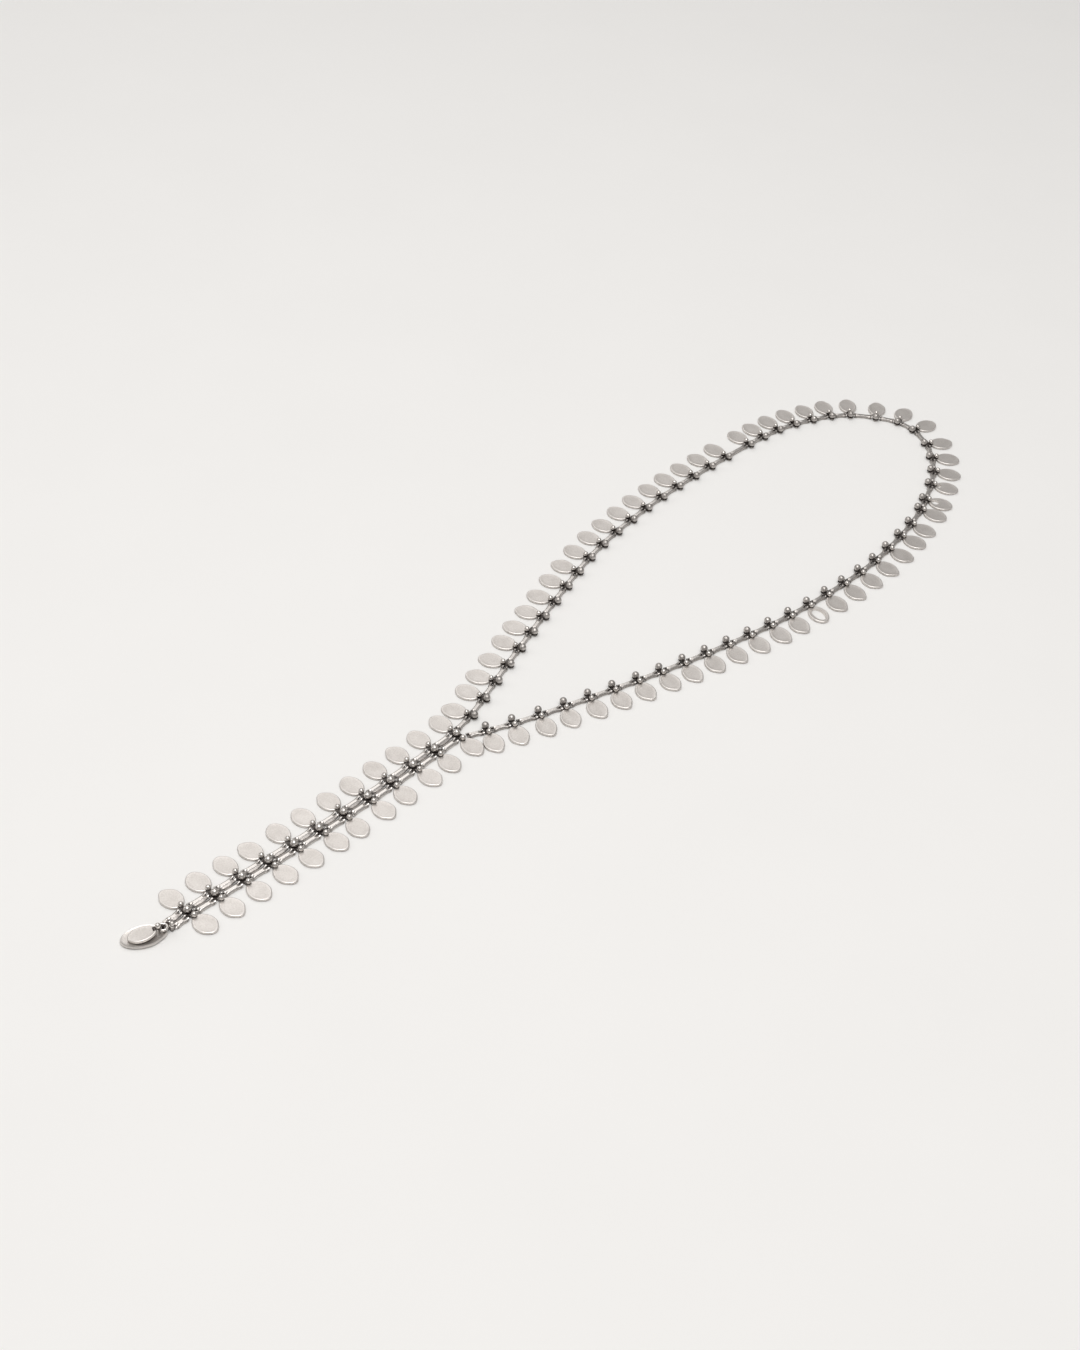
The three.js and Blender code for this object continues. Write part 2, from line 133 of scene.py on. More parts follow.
# The end of the drop, in mm. The bar's own frame has the ring below it at -Y.
BAR_LOW, BAR_HIGH = (-1.5, -0.5, 0), (1.9, 0.5, 1.6)
BAR_SOCKET = (-0.6, 0.7)
SOCKET_BORDER, SOCKET_DEPTH = 0.1, 0.5
BAR_BEVEL = 0.18
RING_MIDDLE = (0.15, -1.75, 1.65)
RING_BEAD_RADIUS = 0.65
RING_BEAD_HEIGHT = 2.3
RING_BEAD_SHIFT = (1.3, 0.3, -0.2)
POST_RADIUS, POST_DEPTH, POST_MIDDLE = 0.4, 2.1, 1.35
NECK_LOW, NECK_HIGH = (-0.7, -0.6, 0.5), (1, 0.6, 1)
NECK_BEVEL = 0.15
LEAF_BEAD_X, LEAF_BEAD_HEIGHT = -0.45, 1.4

# Where the middle of the dish and the root of the end leaf lie from the junction in mm, and their
# headings in degrees; the leaf slopes from the height of its root to that of its tip
DISH_PLACE, DISH_HEADING = (-0.45, -106.9), -114.9
END_LEAF_PLACE, END_LEAF_HEADING = (0.92, -103.8), -111
END_LEAF_ROOT_HEIGHT, END_LEAF_TIP_HEIGHT = 1.85, 1.08

# Finishes of the silver: the roughness that they start from and what is added to it, how far it
# varies, lumps of grain per metre, relief of the grain and how much painted shade darkens them all
# over
FINISHES = {
    "satin leaf": ("satin", 0, 0.06, 2600, 0.35, 0.0),
    "polished bead": ("polish", 0.1, 0.03, 1900, 0.05, 0.0),
    # The shaded bead and the shaded rail are darker copies of the polished ones, with painted shade
    # all over.
    "shaded bead": ("polish", 0.26, 0.05, 2300, 0.2, 0.3),
    "rubbed rail": ("polish", 0.16, 0.05, 2100, 0.2, 0.0),
    "shaded rail": ("polish", 0.2, 0.05, 2100, 0.25, 0.24),
    "blackened setting": (None, 0.4, 0.1, 2600, 0.5, 0.0),
}
PATCHES_PER_METRE = 330
DRIFTS_PER_METRE = 70
GRAIN_HEIGHT = 0.00004

# Square lamps: name, azimuth from +Y towards -X and elevation in degrees, distance and side in
# metres, and brightness of the face, where a white table in full light has 1
LAMPS = (
    ("far softbox", 60, 50, 1.6, 1.15, 0.88),
    ("top softbox", 215, 78, 1.1, 0.9, 3.0),
    ("side strip", 130, 30, 1.5, 0.5, 1.8),
)
LAMP_COLOUR = (1, 0.985, 0.97)
SKY_COLOUR, SKY_STRENGTH = (1, 0.985, 0.965, 1), 0.36
TABLE_SIZE = 10  # metres
TABLE_HEIGHT = -0.05  # mm, just clear of the leaves

# The camera's place and what it looks at in mm, its turn about its own axis and its lens
CAMERA_STAND, CAMERA_AIM = (288.8, -347.82, 388.75), (0.2, -21.62, 0.75)
CAMERA_ROLL = 3.99  # degrees
SENSOR_WIDTH, FOCAL_LENGTH = 36, 68.1  # mm

# first and last unit of each part of the loop
LOOP_PARTS = (
    (1, 4), (5, 8), (9, 12), (13, 16), (17, 20), (21, 23), (24, 25), (26, 27), (28, 29),
    (30, 31), (32, 33), (34, 35), (36, 38), (39, 42), (43, 46), (47, 50), (51, 54), (55, 58),
)


# --- Sizes and colours that a user would change ---


def size(name, description, default):
    """A length property in metres."""
    return bpy.props.FloatProperty(name=name, description=description, default=default, unit="LENGTH")


def colour(name, description, default):
    """A colour property without alpha."""
    return bpy.props.FloatVectorProperty(
        name=name, description=description, default=default, subtype="COLOR", min=0, max=1
    )


class LeafSizes(bpy.types.PropertyGroup):
    """The leaves"""

    root: size("Root", "From the strand's axis to the root of a leaf", 0.0011)
    length: size("Length", "Root to tip", 0.0077)
    width: size("Width", "Across the widest part", 0.00585)
    thickness: size("Thickness", "Of the cast plate", 0.00075)
    edge: size("Rounded edge", "Radius of the soft upper edge", 0.00024)
    hollow: size("Hollow", "How far the middle lies below the rim", 0.00004)


class BeadSizes(bpy.types.PropertyGroup):
    """The beads and the dark settings that they sit in"""

    small_radius: size("Small radius", "Of the bead at the root of a leaf", 0.00078)
    small_height: size("Small height", "Of that bead's middle above the table", 0.00145)
    small_offset: size("Small offset", "From the strand's axis to that bead", 0.00115)
    large_radius: size("Large radius", "Of the bead on the other side of the strand", 0.00106)
    large_height: size("Large height", "Of that bead's middle above the table", 0.00155)
    large_shift: size("Large shift", "How far ahead that bead sits on the returning side", 0.00022)
    setting_height: size("Setting height", "Of the dark bar under the beads", 0.00082)
    setting_half_width: size("Setting half width", "Of that bar, along the strand", 0.00058)


class LinkSizes(bpy.types.PropertyGroup):
    """The forked links"""

    length: size("Length", "Of the link that the others are stretched from", 0.0056)
    half_width: size("Half width", "At the forked ends", 0.00105)
    thickness: size("Thickness", "Of the rail", 0.0009)
    prong: size("Prong", "How far each end is forked", 0.0008)
    lift: size("Lift", "How far the tips of the prongs rise", 0.0003)
    drop_setback: size("Drop setback", "From a leaf pair's middle to the tips of the prongs", 0.00116)
    neck_setback: size("Neck setback", "From a neck setting's middle to those tips", 0.00103)


class EndSizes(bpy.types.PropertyGroup):
    """The ring, dish and leaf at the end of the drop"""

    ring_radius: size("Ring radius", "To the middle of the wire", 0.0011)
    wire_radius: size("Wire radius", "Of the ring's wire", 0.00035)
    dish_length: size("Dish length", "Root to tip", 0.0118)
    dish_width: size("Dish width", "Across the widest part", 0.007)
    dish_rim: size("Rim height", "Of the dish above the table", 0.00112)
    dish_floor: size("Floor height", "Of the inside of the dish", 0.00096)
    leaf_length: size("Leaf length", "Of the leaf that lies over the dish", 0.0075)
    leaf_width: size("Leaf width", "Of that leaf", 0.00475)


class SilverFinish(bpy.types.PropertyGroup):
    """Silver, the dark patina in its recesses, and its painted shade and painted highlights"""

    # Pale silver is also the colour of the painted highlights.
    pale: colour("Pale silver", "Of the rubbed places", (0.80, 0.765, 0.735))
    deep: colour("Deep silver", "Of the duller places", (0.60, 0.565, 0.535))
    # This dark colour is the patina in the recesses, and also the painted shade on the lower sides of
    # leaves and links and under the beads.
    patina_and_shade_colour: colour("Oxide", "Of the blackened recesses", (0.045, 0.033, 0.029))
    satin: bpy.props.FloatProperty(
        name="Satin roughness", description="Of the leaves", default=0.42, subtype="FACTOR"
    )
    polish: bpy.props.FloatProperty(
        name="Polish roughness", description="Of the beads", default=0.14, subtype="FACTOR"
    )
    floor: colour("Table", "Of the table top", (0.9, 0.895, 0.885))


# --- Routes ---


def catmull_rom(t, a, b, c, d):
    """A point between b and c on the smooth curve through the four."""
    slope = c - a
    bend = 2 * a - 5 * b + 4 * c - d
    twist = 3 * b - a - 3 * c + d
    return 0.5 * (2 * b + slope * t + bend * t**2 + twist * t**3)


def make_route(way_points):
    """A smooth curve through the points, with the length walked at each step of it."""
    knots = [Vector(point) for point in way_points]
    controls = [2 * knots[0] - knots[1], *knots, 2 * knots[-1] - knots[-2]]
    path = []
    for i in range(1, len(controls) - 2):
        for step in range(STEPS_PER_SPAN):
            path.append(catmull_rom(step / STEPS_PER_SPAN, *controls[i - 1 : i + 3]))
    path.append(knots[-1])
    lengths = [0.0]
    for here, there in zip(path, path[1:]):
        lengths.append(lengths[-1] + (there - here).length)
    return path, lengths


def point_at(route, distance):
    """The point at a distance along a route."""
    path, lengths = route
    after = next((i for i, length in enumerate(lengths) if length >= distance), len(lengths) - 1)
    after = max(1, after)
    share = (distance - lengths[after - 1]) / (lengths[after] - lengths[after - 1])
    return path[after - 1].lerp(path[after], share)


def walk(route, distance):
    """The point and the heading at a distance along a route."""
    behind = point_at(route, max(0.0, distance - HEADING_REACH))
    ahead = point_at(route, min(route[1][-1], distance + HEADING_REACH))
    return point_at(route, distance), math.atan2(ahead.y - behind.y, ahead.x - behind.x)


def row_for(table, number, otherwise):
    """The value of the first row whose range holds the number."""
    return next((value for first, last, value in table if first <= number <= last), otherwise)


def place_drop():
    """(point in mm, heading) of the leaf pairs, keyed by their number, with the ring's bar at 0."""
    route = make_route(DROP_ROUTE)
    places, distance = {}, 0.0
    for pair in range(PAIRS, -1, -1):
        point, heading = walk(route, distance)
        turn = row_for(PAIR_TURNS, pair, (0, 0, 0))[0]
        places[pair] = (point + JUNCTION, heading + math.radians(turn))
        if pair == PAIRS:
            distance += FIRST_PAIR_GAP
        else:
            distance += RING_BELOW if pair == 1 else PAIR_PITCH
    return places


def place_loop():
    """(point in mm, heading) of the units of the loop, keyed by their number."""
    route = make_route(LOOP_ROUTE)
    places, distance = {}, 0.0
    for unit in range(1, UNITS + 1):
        distance += row_for(UNEVEN_GAPS, unit, UNIT_PITCH)
        point, heading = walk(route, distance)
        turn = row_for(UNIT_TURNS, unit, 0)
        places[unit] = (point + JUNCTION, heading + math.radians(turn))
    return places


def strand_point(place, side):
    """The axis of one strand at a leaf pair: side -1 is the left strand and 1 the right one."""
    point, heading = place
    across = Vector((-math.sin(heading), math.cos(heading)))
    return point + side * STRAND_OFFSET * across


# --- The bench: shaping, copying and finishing ---


def deselect_all():
    """Leaves no object selected."""
    for obj in bpy.context.selected_objects:
        obj.select_set(False)


def take_up(obj):
    """Makes obj the one selected, active object."""
    deselect_all()
    obj.select_set(True)
    bpy.context.view_layer.objects.active = obj


def begin(name, primitive, **settings):
    """Adds a primitive, makes its place and scale part of the mesh and opens it in edit mode."""
    deselect_all()
    primitive(**settings)
    obj = bpy.context.object
    obj.name = obj.data.name = name
    take_up(obj)
    bpy.ops.object.transform_apply(location=True, rotation=False, scale=True)
    bpy.ops.object.mode_set(mode="EDIT")
    bpy.ops.mesh.select_all(action="SELECT")
    return obj


def close_edit():
    """Merges doubles, turns the faces outwards and leaves edit mode."""
    bpy.ops.mesh.select_mode(type="VERT")
    bpy.ops.mesh.select_all(action="SELECT")
    bpy.ops.mesh.remove_doubles(threshold=HAIR)
    bpy.ops.mesh.normals_make_consistent(inside=False)
    bpy.ops.object.mode_set(mode="OBJECT")


def pick(kind, test):
    """In edit mode, selects just the vertices, edges or faces that pass the test.

    The test gets their middle and their normal, or for an edge its middle and its two ends.
    """
    bpy.ops.mesh.select_mode(type=kind)
    bpy.ops.mesh.select_all(action="DESELECT")
    mesh = bpy.context.edit_object.data
    shape = bmesh.from_edit_mesh(mesh)
    shape.normal_update()
    if kind == "VERT":
        chosen = [v for v in shape.verts if test(v.co, v.normal)]
    elif kind == "EDGE":
        chosen = [e for e in shape.edges if test((e.verts[0].co + e.verts[1].co) / 2, e.verts)]
    else:
        chosen = [f for f in shape.faces if test(f.calc_center_median(), f.normal)]
    for item in chosen:
        item.select_set(True)
    shape.select_flush_mode()
    bmesh.update_edit_mesh(mesh)
    if not chosen:
        raise RuntimeError(f"nothing to shape on {bpy.context.edit_object.name}")


def following(spread):
    """Settings of a transform that let what lies within the spread follow softly."""
    return {
        "use_proportional_edit": spread > 0,
        "proportional_edit_falloff": "SMOOTH",
        "proportional_size": max(spread, HAIR),
    }


def move(*offset, spread=0.0):
    """Moves what is selected."""
    bpy.ops.transform.translate(value=offset, **following(spread))


def extrude(*offset):
    """Extrudes what is selected and moves the new end."""
    bpy.ops.mesh.extrude_region_move(TRANSFORM_OT_translate={"value": offset})


def resize(factors, middle, spread=0.0):
    """Scales what is selected about a point."""
    bpy.ops.transform.resize(value=factors, center_override=middle, **following(spread))


def grow_ring(factors, middle, shift=0.0):
    """Extrudes what is selected in place, scales it about a point and moves it up or down."""
    extrude(0, 0, shift)
    resize(factors, middle)


def cut(place, normal, **settings):
    """Cuts everything with a plane and keeps both sides, unless the settings say otherwise."""
    bpy.ops.mesh.select_all(action="SELECT")
    bpy.ops.mesh.bisect(plane_co=place, plane_no=normal, threshold=HAIR, **settings)


def apply_modifier(obj, kind, **settings):
    """Adds a modifier and applies it."""
    take_up(obj)
    modifier = obj.modifiers.new(kind.title(), kind)
    for key, value in settings.items():
        setattr(modifier, key, value)
    bpy.ops.object.modifier_apply(modifier=modifier.name)


def soften(obj, width, segments):
    """Rounds the sharp edges of a piece, by a width in mm."""
    apply_modifier(
        obj, "BEVEL",
        width=width * MM, segments=segments, limit_method="ANGLE", angle_limit=ROUND_ABOVE,
    )


def coat(obj, finish, **amounts):
    """Gives silver its finish, and stores at each vertex how much patina and painted shade darken it
    and how much painted highlight brightens it.
    """
    for name in ("tarnish", "rubbed"):
        attribute = obj.data.attributes.new(name, "FLOAT", "POINT")
        amount = amounts.get(name)
        if amount:
            values = [amount(vertex.co) for vertex in obj.data.vertices]
            attribute.data.foreach_set("value", values)
    return finish_with(obj, silver_finish(finish))


def ramp(value, low, high):
    """0 below low, 1 above high and a straight line between."""
    return min(1.0, max(0.0, (value - low) / (high - low)))


def finish_with(obj, material):
    """Gives a piece the one material."""
    obj.data.materials.clear()
    obj.data.materials.append(material)
    return obj


def laid(template, matrix):
    """A copy of a template with its own mesh and its place in that mesh."""
    copy = template.copy()
    copy.data = template.data.copy()
    copy.data.transform(matrix)
    bpy.context.collection.objects.link(copy)
    return copy


def lay(point, turn, x=0.0, y=0.0, z=0.0):
    """From a piece's own frame, shifted by x, y, z, to a place in mm with a turn about +Z."""
    place = Matrix.Translation((point.x * MM, point.y * MM, 0)) @ Matrix.Rotation(turn, 4, "Z")
    return place @ Matrix.Translation((x, y, z))


def joined(name, parts):
    """Joins the parts into one object at the origin."""
    deselect_all()
    for part in parts:
        part.select_set(True)
    whole = parts[0]
    bpy.context.view_layer.objects.active = whole
    if len(parts) > 1:
        bpy.ops.object.join()
    whole.name = whole.data.name = name
    return whole


def hand_over(obj, node):
    """Shades a finished piece and lets it stand for its CAD node."""
    take_up(obj)
    bpy.ops.object.shade_smooth_by_angle(angle=SMOOTH_BELOW)
    low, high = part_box(node)
    vertices = obj.data.vertices
    middle = sum((vertex.co for vertex in vertices), Vector()) / len(vertices)
    slack = 0.5 * MM
    if any(not low[i] - slack <= middle[i] <= high[i] + slack for i in range(3)):
        raise RuntimeError(f"{obj.name} doesn't lie where {node} does")
    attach(obj, "root")
    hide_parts(node)


def discard(templates):
    """Removes templates and their meshes."""
    for template in templates:
        mesh = template.data
        bpy.data.objects.remove(template)
        bpy.data.meshes.remove(mesh)


# --- Silver ---


def add_noise(tree, place, scale, detail):
    """Noise on the piece's own coordinates, in lumps per metre."""
    noise = tree.nodes.new("ShaderNodeTexNoise")
    noise.inputs["Scale"].default_value = scale
    noise.inputs["Detail"].default_value = detail
    tree.links.new(place.outputs["Object"], noise.inputs["Vector"])
    return noise.outputs["Fac"]


def add_range(tree, value, low, high, to_low, to_high):
    """Maps a value from one range to another and stops at its ends."""
    span = tree.nodes.new("ShaderNodeMapRange")
    ends = {"From Min": low, "From Max": high, "To Min": to_low, "To Max": to_high}
    for end, amount in ends.items():
        span.inputs[end].default_value = amount
    tree.links.new(value, span.inputs["Value"])
    return span.outputs["Result"]


def add_math(tree, operation, *values):
    """Arithmetic on outputs or numbers, kept between 0 and 1."""
    node = tree.nodes.new("ShaderNodeMath")
    node.operation = operation
    node.use_clamp = True
    for socket, value in zip(node.inputs, values):
        if isinstance(value, (int, float)):
            socket.default_value = value
        else:
            tree.links.new(value, socket)
    return node.outputs["Value"]


def add_mix(tree, share, first, second):
    """Mixes two colours, each an output or a plain colour."""
    node = tree.nodes.new("ShaderNodeMix")
    node.data_type = "RGBA"
    tree.links.new(share, node.inputs["Factor"])
    for socket, value in zip((node.inputs[6], node.inputs[7]), (first, second)):
        if isinstance(value, (tuple, list)):
            socket.default_value = (*value, 1)
        else:
            tree.links.new(value, socket)
    return node.outputs[2]


def silver(name, roughness, spread, grain, relief, painted_shade):
    """Silver that goes from pale to deep in soft patches, darkened by patina and painted shade and
    paled by painted highlights where the piece is marked.
    """
    finish = bpy.context.scene.necklace_silver
    material = bpy.data.materials.new(name)
    material.use_nodes = True
    tree = material.node_tree
    shader = tree.nodes["Principled BSDF"]
    shader.inputs["Metallic"].default_value = 1.0
    place = tree.nodes.new("ShaderNodeTexCoord")
    marks = {}
    for mark in ("tarnish", "rubbed"):
        node = tree.nodes.new("ShaderNodeAttribute")
        node.attribute_name = mark
        marks[mark] = node.outputs["Fac"]
    fine = add_noise(tree, place, grain, 5)
    patches = add_noise(tree, place, PATCHES_PER_METRE, 3)
    drift = add_noise(tree, place, DRIFTS_PER_METRE, 1)

    mottle = add_math(tree, "MULTIPLY", add_range(tree, fine, 0.3, 0.7, 0, 1), 0.45)
    cloud = add_math(tree, "MULTIPLY", add_range(tree, patches, 0.35, 0.65, 0, 1), 0.3)
    tone = add_math(tree, "ADD", mottle, cloud)
    tone = add_math(tree, "ADD", tone, add_range(tree, drift, 0.3, 0.7, 0, 0.25))
    # Painted highlights make the silver paler.
    tone = add_math(tree, "SUBTRACT", tone, marks["rubbed"])
    bare = add_mix(tree, tone, tuple(finish.pale), tuple(finish.deep))

    ragged = add_range(tree, fine, 0.3, 0.7, -0.12, 0.12)
    # The marked patina and painted shade, with the finish's painted shade all over added.
    dark = add_math(tree, "ADD", marks["tarnish"], painted_shade)
    # The edge of the patina and painted shade is broken up by the grain.
    broken = add_math(tree, "MULTIPLY_ADD", dark, 1.0, ragged)
    present = add_range(tree, dark, 0.0, 0.12, 0, 1)
    patina_and_shade_share = add_math(tree, "MULTIPLY", broken, present)
    tree.links.new(add_mix(tree, patina_and_shade_share, bare, tuple(finish.patina_and_shade_colour)), shader.inputs["Base Color"])

    gloss = add_range(tree, fine, 0.3, 0.7, roughness - spread, roughness + spread)
    gloss = add_math(tree, "ADD", gloss, add_range(tree, marks["tarnish"], 0, 1, 0, 0.3))
    gloss = add_math(tree, "SUBTRACT", gloss, add_range(tree, marks["rubbed"], 0, 1, 0, 0.12))
    tree.links.new(gloss, shader.inputs["Roughness"])

    bump = tree.nodes.new("ShaderNodeBump")
    bump.inputs["Strength"].default_value = relief
    bump.inputs["Distance"].default_value = GRAIN_HEIGHT
    tree.links.new(fine, bump.inputs["Height"])
    tree.links.new(bump.outputs["Normal"], shader.inputs["Normal"])
    return material


def silver_finish(name):
    """The named finish, made the first time that it is asked for."""
    made = bpy.data.materials.get(name)
    if made:
        return made
    start, added, spread, grain, relief, painted_shade = FINISHES[name]
    roughness = added + (getattr(bpy.context.scene.necklace_silver, start) if start else 0)
    return silver(name, roughness, spread, grain, relief, painted_shade)


# --- Templates ---


def make_leaf(length, width, blunt=0.94, lean=0.0):
    """A leaf along +X from its root at the origin, lying on the table.

    The blunter the tip, the nearer blunt is to 1; lean is how far the tip is off to one side.
    """
    sizes = bpy.context.scene.necklace_leaf
    top = sizes.thickness
    middle = Vector((length / 2, 0, top / 2))
    leaf = begin(
        "leaf", bpy.ops.mesh.primitive_cylinder_add,
        vertices=40, radius=length / 2, depth=top, location=middle,
    )
    resize((1, width / length, 1), middle)
    pick("VERT", lambda co, _: co.x < 0.2 * length)
    resize((1, 0.97, 1), middle, 0.35 * length)
    pick("VERT", lambda co, _: co.x > 0.86 * length)
    resize((1, blunt, 1), middle, 0.25 * length)
    if lean:
        pick("VERT", lambda co, _: co.x > 0.97 * length)
        move(0, lean, 0, spread=0.3 * length)
    pick("EDGE", lambda co, ends: all(end.co.z > 0.9 * top for end in ends))
    bpy.ops.mesh.bevel(offset=sizes.edge, segments=3, profile=0.5)
    pick("EDGE", lambda co, ends: all(end.co.z < 0.1 * top for end in ends))
    bpy.ops.mesh.bevel(offset=0.3 * sizes.edge, segments=1)
    pick("FACE", lambda co, normal: normal.z > 0.99 and co.z > 0.9 * top)
    # share of the ring before, and how far the ring is moved as a share of the hollow
    for share, shift in ((0.96, 0.0), (0.92, -0.7), (0.8, -0.3), (0.6, 0.1)):
        grow_ring((share, share, 1), middle, shift * sizes.hollow)
    close_edit()

    # A painted highlight along the upper rim of the leaf.
    def rubbed(co):
        out = math.hypot(2 * co.x / length - 1, 2 * co.y / width)
        return 0.5 * ramp(out, 0.84, 0.92) * ramp(co.z, 0.6 * top, 0.9 * top)

    # Patina round the small bead at the root with the bead's painted shadow over it, and painted shade
    # on the lower side of the leaf.
    def tarnish(co):
        at_root = ramp(0.7 * MM - co.x, 0, 0.7 * MM) * ramp(1.2 * MM - abs(co.y), 0, 0.6 * MM)
        return max(0.5 * at_root, 0.24 * ramp(0.75 * top - co.z, 0, 0.2 * top))

    return coat(leaf, "satin leaf", tarnish=tarnish, rubbed=rubbed)


def make_leaves(kind):
    """The leaf in the shapes of one kind, which take turns along the necklace."""
    sizes = bpy.context.scene.necklace_leaf
    return [
        make_leaf(long * sizes.length, wide * sizes.width, blunt, lean * MM)
        for long, wide, blunt, lean in LEAF_SHAPES[kind]
    ]


def pierce(leaf, middle_x, length, width):
    """Cuts an oval hole through a leaf."""
    cutter = begin(
        "piercing", bpy.ops.mesh.primitive_cylinder_add,
        vertices=24, radius=length / 2, depth=4 * MM, location=(middle_x, 0, 0),
    )
    resize((1, width / length, 1), (middle_x, 0, 0))
    close_edit()
    apply_modifier(leaf, "BOOLEAN", operation="DIFFERENCE", solver="EXACT", object=cutter)
    discard([cutter])
    bpy.ops.object.mode_set(mode="EDIT")
    bpy.ops.mesh.select_all(action="SELECT")
    bpy.ops.mesh.quads_convert_to_tris()
    bpy.ops.mesh.dissolve_degenerate(threshold=HAIR)
    close_edit()


def make_bead(radius, height, finish):
    """A bead on the +Z axis, cut off at its seat and soldered to a narrow dark collar."""
    bead = begin(
        "bead", bpy.ops.mesh.primitive_uv_sphere_add,
        segments=16, ring_count=10, radius=radius, location=(0, 0, height),
    )
    seat = height - 0.72 * radius
    cut((0, 0, seat), (0, 0, 1), clear_inner=True)
    grow_ring((1.3, 1.3, 1), (0, 0, seat))
    extrude(0, 0, -0.25 * MM)
    bpy.ops.mesh.edge_face_add()
    close_edit()
    # Patina on the collar, and painted shade over the lower part of the bead.
    return coat(bead, finish, tarnish=lambda co: ramp(seat + 0.45 * radius - co.z, 0, 0.4 * radius))


def make_block(name, low, high):
    """A block between two corners, open in edit mode."""
    low, high = Vector(low), Vector(high)
    middle = (low + high) / 2
    return begin(name, bpy.ops.mesh.primitive_cube_add, size=1, location=middle, scale=high - low)


def make_setting(lengths):
    """The bar along X that beads sit on, widened to a dark plate, by PAIR_SETTING or NECK_SETTING."""
    low_x, high_x, plate_low, plate_high, plate_half = (length * MM for length in lengths)
    sizes = bpy.context.scene.necklace_beads
    top, half = sizes.setting_height, sizes.setting_half_width
    setting = make_block("setting", (low_x, -half, 0), (high_x, half, top))
    gap = 0.02 * MM
    for x in (plate_low - gap, plate_low, plate_high, plate_high + gap):
        if low_x < x < high_x:
            cut((x, 0, 0), (1, 0, 0))
    pick("VERT", lambda co, _: plate_low - gap / 2 < co.x < plate_high + gap / 2)
    resize((1, plate_half / half, 1), (0, 0, 0))
    pick("FACE", lambda co, normal: normal.z > FACING and plate_low < co.x < plate_high)
    bpy.ops.mesh.inset(thickness=PLATE_INSET * MM, depth=-PLATE_INSET * MM)
    close_edit()
    soften(setting, SETTING_BEVEL, 1)

    # Patina on the plate and the bar, painted lighter along the plate's top edge.
    def tarnish(co):
        inside = plate_low - 0.1 * MM < co.x < plate_high + 0.1 * MM
        return 0.88 - 0.2 * ramp(co.z, top - 0.04 * MM, top) if inside else 0.3

    # A painted highlight along the top of the setting.
    def rubbed(co):
        return 0.3 * ramp(co.z, top - 0.05 * MM, top)

    return coat(setting, "blackened setting", tarnish=tarnish, rubbed=rubbed)


def make_link(name, forks=(-1, 1)):
    """A rail along X on the table with a ridge lit by a painted highlight, forked at its ends and
    waisted.

    The outer side is +Y. A waist under 1 is drawn in, and one over 1 swells. The inner side is
    sunk by the ledge. An end that isn't forked just narrows.
    """
    finish, outer_waist, inner_waist, ledge = LINK_STYLES[name]
    ledge *= MM
    sizes = bpy.context.scene.necklace_links
    wide, top = sizes.half_width, sizes.thickness
    half = sizes.length / 2
    fork = half - sizes.prong
    waist = WAIST_SHARE * half
    ridge, slot = 0.45 * wide, 0.17 * wide
    step_y = -0.55 * wide
    link = make_block(name, (-fork, -wide, 0), (fork, wide, top))
    for y in (step_y, -ridge, -slot, slot, ridge):
        cut((0, y, 0), (0, 1, 0))
    for x in (-0.8 * fork, -0.6 * fork, -waist, waist, 0.6 * fork, 0.8 * fork):
        cut((x, 0, 0), (1, 0, 0))
    for end in (-1, 1):
        if end not in forks:
            pick("FACE", lambda co, normal: normal.x * end > FACING)
            extrude(end * sizes.prong, 0, 0)
            resize((1, 0.7, 0.8), (end * half, 0, 0))
            continue
        for side in (-1, 1):
            pick("FACE", lambda co, normal: normal.x * end > FACING and co.y * side > slot)
            extrude(end * sizes.prong, 0, sizes.lift)
            resize((1, 0.85, 0.9), (end * half, side * 0.6 * wide, 0.6 * top + sizes.lift))
    # The fork starts as a groove in the top.
    pick("FACE", lambda co, normal: normal.z > 0.7 and abs(co.y) < slot and abs(co.x) > 0.8 * fork)
    move(0, 0, -0.35 * top)
    # The flanks fall away from the ridge, apart from one that is sunk as a whole.
    fallen = (1,) if ledge else (-1, 1)
    for side in fallen:
        pick("VERT", lambda co, _: co.z > 0.9 * top and co.y * side > 0.95 * wide and abs(co.x) < fork)
        move(0, 0, -0.4 * top)
    if ledge:
        pick("FACE", lambda co, normal: normal.z > 0.7 and co.y < step_y and abs(co.x) < 0.8 * fork)
        move(0, 0, -ledge)
    # Each side is moved at its waist, and half as far between there and the fork.
    for side, share in ((1, outer_waist), (-1, inner_waist)):
        shift = -side * (1 - share) * wide
        pick("VERT", lambda co, _: abs(co.x) < 1.01 * waist and co.y * side > 0.9 * wide)
        move(0, shift, 0)
        pick("VERT", lambda co, _: waist < abs(co.x) < 0.7 * fork and co.y * side > 0.9 * wide)
        move(0, 0.5 * shift, 0)
    close_edit()
    apply_modifier(link, "SUBSURF", levels=1, render_levels=1)

    def tarnish(co):
        far_out = abs(co.x)
        # Painted shade on the lower part of the sides.
        dark = 0.2 * ramp(0.75 * top - co.z, 0, 0.25 * top)
        # The sunk inner side gets painted shade, with patina deepening towards the forks.
        if ledge and co.y < -ridge and far_out < fork:
            dark = max(dark, 0.22 + 0.42 * ramp(far_out, 0.45 * fork, 0.75 * fork))
        in_fork = ramp(far_out, 0.8 * fork, fork) * ramp(2.2 * slot - abs(co.y), 0, slot)
        at_root = ramp(0.3 * MM - abs(far_out - fork), 0, 0.15 * MM)
        return max(dark, 0.9 * in_fork, 0.55 * at_root)

    # Painted highlights on the tips of the prongs and along the ridge.
    def rubbed(co):
        at_tip = ramp(abs(co.x), fork + 0.25 * MM, fork + 0.4 * MM)
        on_ridge = ramp(co.z, 0.85 * top, top) * ramp(1.5 * ridge - abs(co.y), 0, 0.5 * ridge)
        return max(at_tip, 0.7 * on_ridge)

    return coat(link, finish, tarnish=tarnish, rubbed=rubbed)


